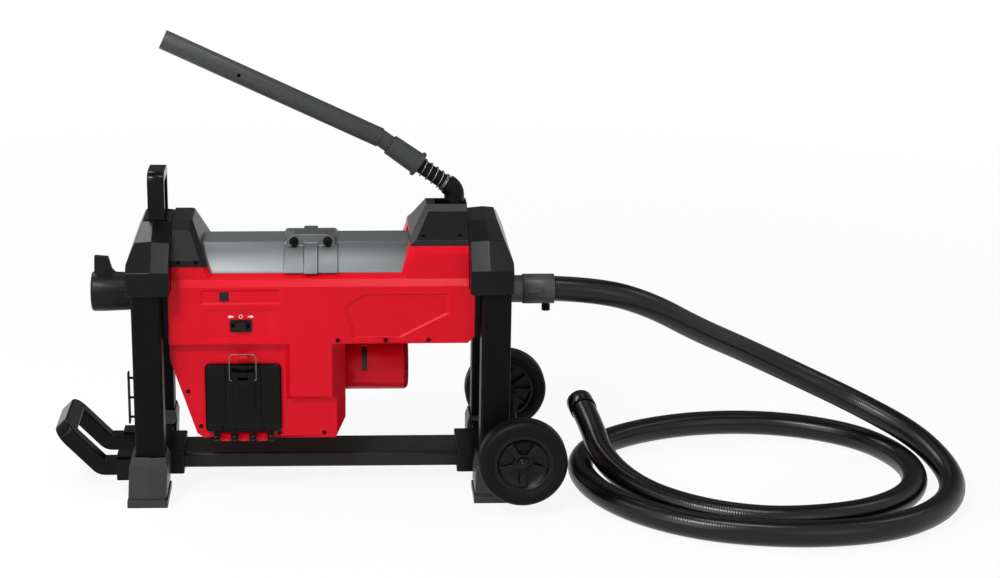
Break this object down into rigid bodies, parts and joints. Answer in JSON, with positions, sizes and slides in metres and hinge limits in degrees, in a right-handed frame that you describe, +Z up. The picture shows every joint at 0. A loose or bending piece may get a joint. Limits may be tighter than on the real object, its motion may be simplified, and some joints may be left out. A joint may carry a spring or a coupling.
{
  "type": "sectional drain cleaning machine",
  "caption": "Battery powered sectional drain cleaner on square legs: red body over a belt driven hollow spindle, clamp lever, transport wheels and a coiled rear guide hose.",
  "frame": {"origin": "on the floor, under the middle of the machine's bounding box without the guide hose", "axes": "+X to the rear, where the hose leaves; +Y to the machine's right side; +Z up"},
  "size_m": [1.5962, 0.587, 0.8052],
  "materials": {
    "red_plastic": "fine moulded texture, low sheen",
    "black_plastic": "fine moulded texture",
    "black_steel": "black powder coat, semi-matt",
    "black_casting": "black coated casting",
    "aluminium": "satin extruded aluminium",
    "steel": "machined steel",
    "dark_steel": "dark satin coat",
    "tyre": "black rubber",
    "grey_casting": "dark grey satin",
    "hose_plastic": "semi-gloss, finely ribbed",
    "dark_window": "smoked window",
    "circuit_board": "board with parts, on a heat sink",
    "motor_iron": "laminated iron with windings",
    "belt_rubber": "reinforced rubber"
  },
  "bodies": {
    "frame": {"front_left_leg": "black_steel", "front_right_leg": "black_steel", "rear_left_leg": "black_steel", "rear_right_leg": "black_steel", "front_feet": "black_plastic", "rear_feet": "black_plastic", "front_shoulder": "black_casting", "rear_shoulder": "black_casting", "base_beam": "black_steel", "front_cross_bracket": "black_casting", "rear_cross_bracket": "black_casting", "lift_handle": "black_plastic", "axle_brackets": "black_casting", "axle": "steel", "axle_hardware": "black_steel", "hook_strip": "black_plastic", "drive_housing": "aluminium", "clamp_saddle": "aluminium", "saddle_bolts": "black_steel", "left_body": "red_plastic", "right_body": "red_plastic", "motor_cover": "red_plastic", "front_cover": "black_plastic", "rear_cover": "black_plastic", "case_screws": "black_steel", "indicator_window": "dark_window", "switch_bezel": "black_plastic", "battery_pack": "black_plastic", "control_board": "circuit_board", "motor_stator": "motor_iron", "drive_belt": "belt_rubber", "bearings": "steel", "lever_bracket": "black_steel", "pivot_pins": "steel", "rear_spigot": "grey_casting", "hose_coupling": "grey_casting", "guide_hose": "hose_plastic", "hose_cuff": "hose_plastic"},
    "clamp_lever": {"lever_arm": "black_steel", "lever_spring": "steel", "lever_sleeve": "black_plastic", "lever_tube": "dark_steel"},
    "spindle": {"spindle": "steel", "spindle_pulley": "aluminium"},
    "clutch_collar": {"clutch_collar": "steel"},
    "jaw_1": {"jaw_1": "steel"},
    "jaw_2": {"jaw_2": "steel"},
    "jaw_3": {"jaw_3": "steel"},
    "motor_rotor": {"motor_rotor": "motor_iron"},
    "left_wheel": {"left_wheel_hub": "black_plastic", "left_tyre": "tyre"},
    "right_wheel": {"right_wheel_hub": "black_plastic", "right_tyre": "tyre"},
    "battery_door": {"battery_door": "black_plastic"},
    "latch_lever": {"latch_lever": "black_plastic"},
    "latch_bail": {"latch_bail": "steel"},
    "direction_switch": {"direction_switch": "black_plastic"},
    "feed_lever": {"feed_lever": "black_plastic"},
    "nose_collar": {"nose_collar": "black_plastic"},
    "thumb_screw": {"thumb_screw": "black_steel"}
  },
  "joints": [
    {"name": "lever_pull", "type": "hinge", "parent": "frame", "child": "clamp_lever", "pos_m": [0.255, 0, 0.462], "axis": [0, -1, 0], "range_deg": [0, 16], "stiffness_Nm_per_rad": 20, "springref_deg": -34.38},
    {"name": "spindle_spin", "type": "hinge", "parent": "frame", "child": "spindle", "pos_m": [0, 0, 0.345], "axis": [1, 0, 0], "continuous": true},
    {"name": "collar_slide", "type": "slide", "parent": "spindle", "child": "clutch_collar", "axis": [1, 0, 0], "range_m": [0, 0.018]},
    {"name": "jaw_1_close", "type": "slide", "parent": "spindle", "child": "jaw_1", "axis": [0, -1, 0], "range_m": [0, 0.0032]},
    {"name": "jaw_2_close", "type": "slide", "parent": "spindle", "child": "jaw_2", "axis": [0, 0.5, -0.866], "range_m": [0, 0.0032]},
    {"name": "jaw_3_close", "type": "slide", "parent": "spindle", "child": "jaw_3", "axis": [0, 0.5, 0.866], "range_m": [0, 0.0032]},
    {"name": "rotor_spin", "type": "hinge", "parent": "frame", "child": "motor_rotor", "pos_m": [0.11, 0, 0.211], "axis": [1, 0, 0], "continuous": true},
    {"name": "left_wheel_roll", "type": "hinge", "parent": "frame", "child": "left_wheel", "pos_m": [0.366, -0.192, 0.094], "axis": [0, 1, 0], "continuous": true},
    {"name": "right_wheel_roll", "type": "hinge", "parent": "frame", "child": "right_wheel", "pos_m": [0.366, 0.192, 0.094], "axis": [0, 1, 0], "continuous": true},
    {"name": "door_open", "type": "hinge", "parent": "frame", "child": "battery_door", "pos_m": [-0.1125, -0.1065, 0.1093], "axis": [1, 0, 0], "range_deg": [0, 100]},
    {"name": "latch_turn", "type": "hinge", "parent": "battery_door", "child": "latch_lever", "pos_m": [-0.1125, -0.114, 0.227], "axis": [-1, 0, 0], "range_deg": [0, 150]},
    {"name": "bail_turn", "type": "hinge", "parent": "latch_lever", "child": "latch_bail", "pos_m": [-0.1125, -0.114, 0.217], "axis": [-1, 0, 0], "range_deg": [-150, 0]},
    {"name": "switch_slide", "type": "slide", "parent": "frame", "child": "direction_switch", "axis": [1, 0, 0], "range_m": [-0.007, 0.007]},
    {"name": "feed_tilt", "type": "hinge", "parent": "frame", "child": "feed_lever", "pos_m": [-0.259, 0, 0.471], "axis": [0, 1, 0], "range_deg": [-15, 15]},
    {"name": "nose_turn", "type": "hinge", "parent": "frame", "child": "nose_collar", "pos_m": [-0.34, 0, 0.345], "axis": [1, 0, 0], "range_deg": [0, 60]},
    {"name": "thumb_turn", "type": "hinge", "parent": "frame", "child": "thumb_screw", "pos_m": [0.419, 0, 0.31], "axis": [0, 0, 1], "range_deg": [0, 360]}
  ],
  "couplings": [
    {"joint": "collar_slide", "follows": "lever_pull", "m_per_rad": 0.0641},
    {"joint": "jaw_1_close", "follows": "lever_pull", "m_per_rad": 0.0113},
    {"joint": "jaw_2_close", "follows": "lever_pull", "m_per_rad": 0.0113},
    {"joint": "jaw_3_close", "follows": "lever_pull", "m_per_rad": 0.0113},
    {"joint": "rotor_spin", "follows": "spindle_spin", "ratio": 3},
    {"joint": "bail_turn", "follows": "latch_turn", "ratio": -1}
  ]
}
